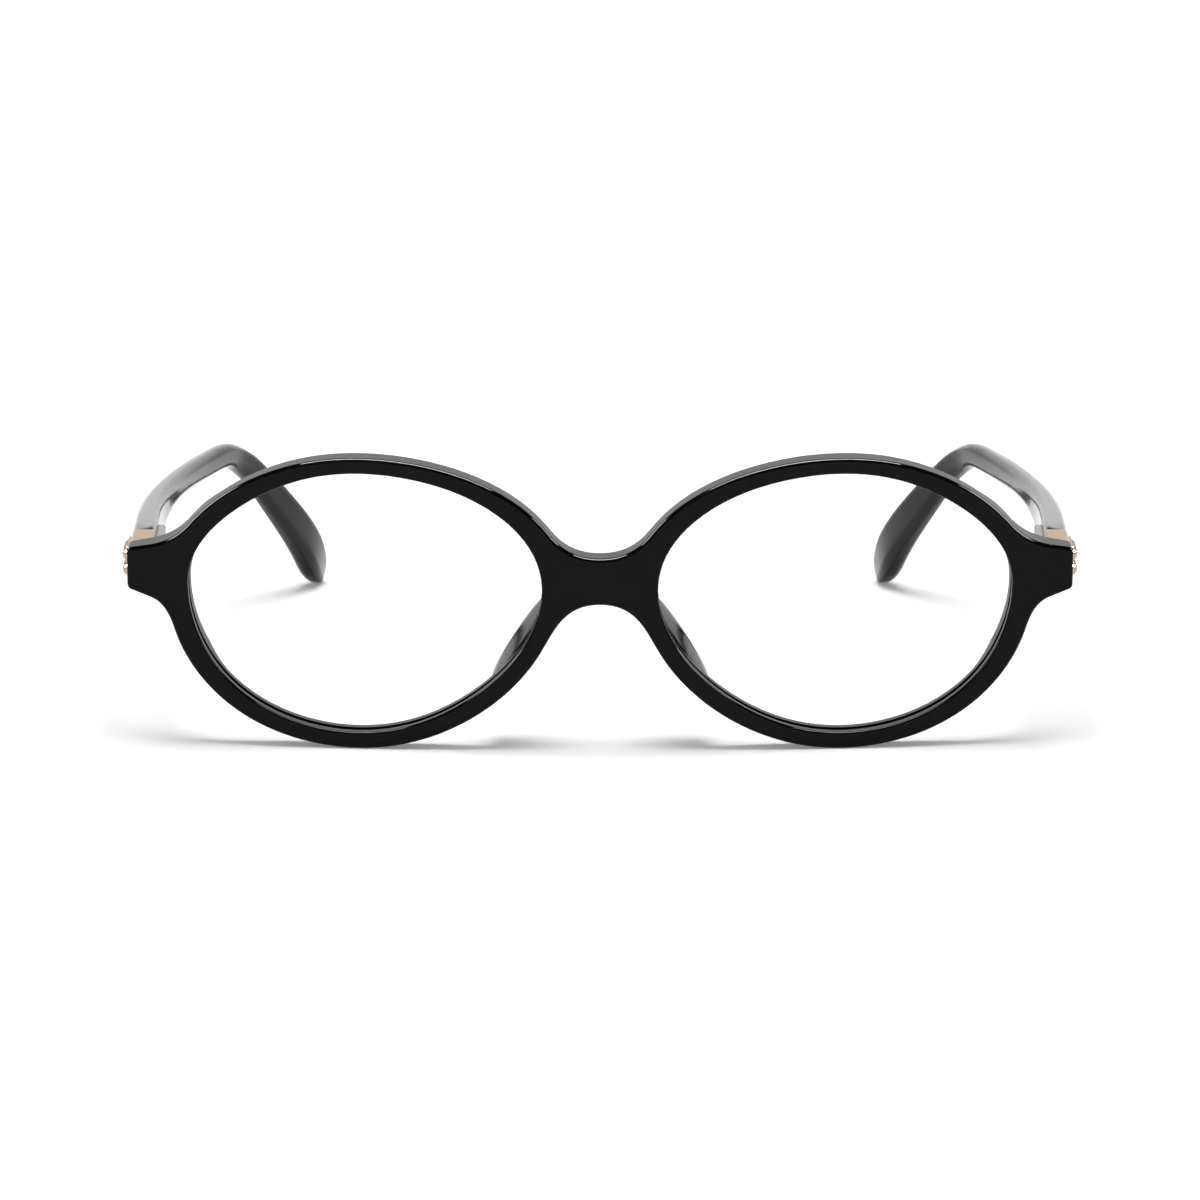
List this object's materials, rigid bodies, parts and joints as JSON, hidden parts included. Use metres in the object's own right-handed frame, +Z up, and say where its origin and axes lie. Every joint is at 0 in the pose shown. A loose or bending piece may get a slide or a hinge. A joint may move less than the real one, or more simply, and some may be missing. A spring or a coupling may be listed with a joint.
{
  "type": "eyeglasses",
  "caption": "Oval full-rim acetate eyeglasses with clear lenses, bonded nose pads, folding temples on spring hinges and metal collars with a beaded plaque.",
  "frame": {"origin": "centre of the bounding box on the table that the rims and temple tips stand on", "axes": "+Z up from the table, +X to the wearer's left, +Y from the front back along the temples"},
  "size_m": [0.1444, 0.1388, 0.0442],
  "materials": {
    "acetate_front": "polished black acetate",
    "acetate_temple": "polished black acetate",
    "lens": "clear, polished",
    "rose_gold": "satin pale rose gold plate",
    "rose_gold_relief": "polished pale rose gold plate",
    "nickel": "satin nickel plate",
    "steel": "plain steel"
  },
  "bodies": {
    "front": {"front": "acetate_front", "lens_left": "lens", "lens_right": "lens", "nose_pad_left": "acetate_front", "nose_pad_right": "acetate_front", "front_hinge_left": "nickel", "front_hinge_right": "nickel", "hinge_rivets_left": "steel", "hinge_rivets_right": "steel", "hinge_screw_left": "steel", "hinge_screw_right": "steel"},
    "slider_left": {"spring_slider_left": "nickel", "spring_nut_left": "nickel", "hinge_spring_left": "steel"},
    "temple_left": {"temple_left": "acetate_temple", "core_wire_left": "steel", "collar_left": "rose_gold", "ornament_left": "rose_gold_relief", "spring_case_left": "nickel", "case_screw_left": "steel"},
    "slider_right": {"spring_slider_right": "nickel", "spring_nut_right": "nickel", "hinge_spring_right": "steel"},
    "temple_right": {"temple_right": "acetate_temple", "core_wire_right": "steel", "collar_right": "rose_gold", "ornament_right": "rose_gold_relief", "spring_case_right": "nickel", "case_screw_right": "steel"}
  },
  "joints": [
    {"name": "fold_left", "type": "hinge", "parent": "front", "child": "slider_left", "pos_m": [0.0655, -0.05637, 0.0266], "axis": [0, 0, 1], "range_deg": [0, 83]},
    {"name": "spring_left", "type": "slide", "parent": "slider_left", "child": "temple_left", "axis": [0.0523, 0.9986, 0], "range_m": [0, 0.0015], "stiffness_N_per_m": 1500, "springref_m": -0.002, "deforming": ["hinge_spring_left"]},
    {"name": "fold_right", "type": "hinge", "parent": "front", "child": "slider_right", "pos_m": [-0.0655, -0.05637, 0.0266], "axis": [0, 0, -1], "range_deg": [0, 74]},
    {"name": "spring_right", "type": "slide", "parent": "slider_right", "child": "temple_right", "axis": [-0.0523, 0.9986, 0], "range_m": [0, 0.0015], "stiffness_N_per_m": 1500, "springref_m": -0.002, "deforming": ["hinge_spring_right"]}
  ]
}
